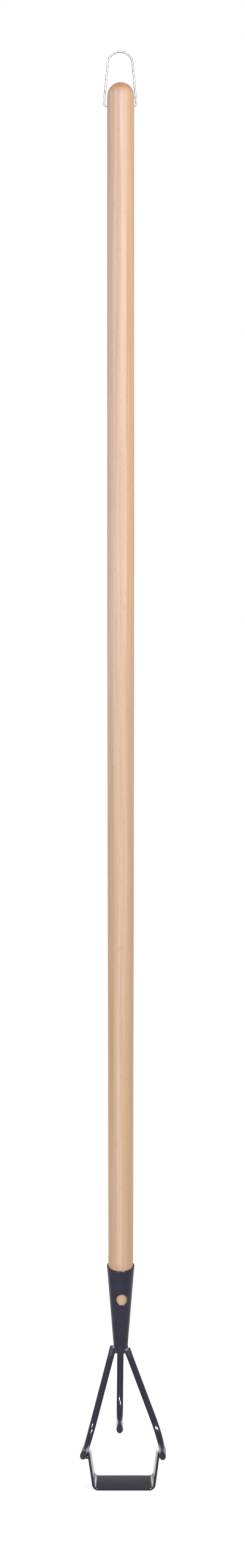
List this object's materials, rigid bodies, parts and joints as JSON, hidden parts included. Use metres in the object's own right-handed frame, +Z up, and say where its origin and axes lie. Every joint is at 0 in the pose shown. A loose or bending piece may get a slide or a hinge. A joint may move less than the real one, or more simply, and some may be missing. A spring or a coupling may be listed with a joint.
{
  "type": "draw hoe",
  "caption": "Long draw hoe with curved cultivator tines: wooden shaft in a rolled steel socket, stirrup blade between the outer tines, wire hanging loop at the top.",
  "frame": {"origin": "where the shaft's axis meets the underside of the blade", "axes": "+Z up along the shaft's axis towards the hanging loop, +X to the right seen from the side that the tines point to, -Y the way the tines and the blade's lowered edge point"},
  "size_m": [0.0878, 0.0547, 1.4866],
  "materials": {
    "beech": "sanded beech with a thin clear satin varnish",
    "galvanised_wire": "bright galvanised wire",
    "black_paint": "satin blue-black enamel on steel",
    "screw_steel": "zinc-plated steel"
  },
  "bodies": {
    "tool": {"handle": "beech", "socket": "black_paint", "socket_seam": "black_paint", "socket_screw": "screw_steel", "tine_left": "black_paint", "tine_centre": "black_paint", "tine_right": "black_paint", "tine_weld": "black_paint", "blade": "black_paint", "blade_weld_left": "black_paint", "blade_weld_right": "black_paint"},
    "hanger": {"hanger_loop": "galvanised_wire"}
  },
  "joints": [
    {"name": "hanger_swing", "type": "hinge", "parent": "tool", "child": "hanger", "pos_m": [0, 0, 1.4255], "axis": [1, 0, 0], "range_deg": [-160, 160]}
  ]
}
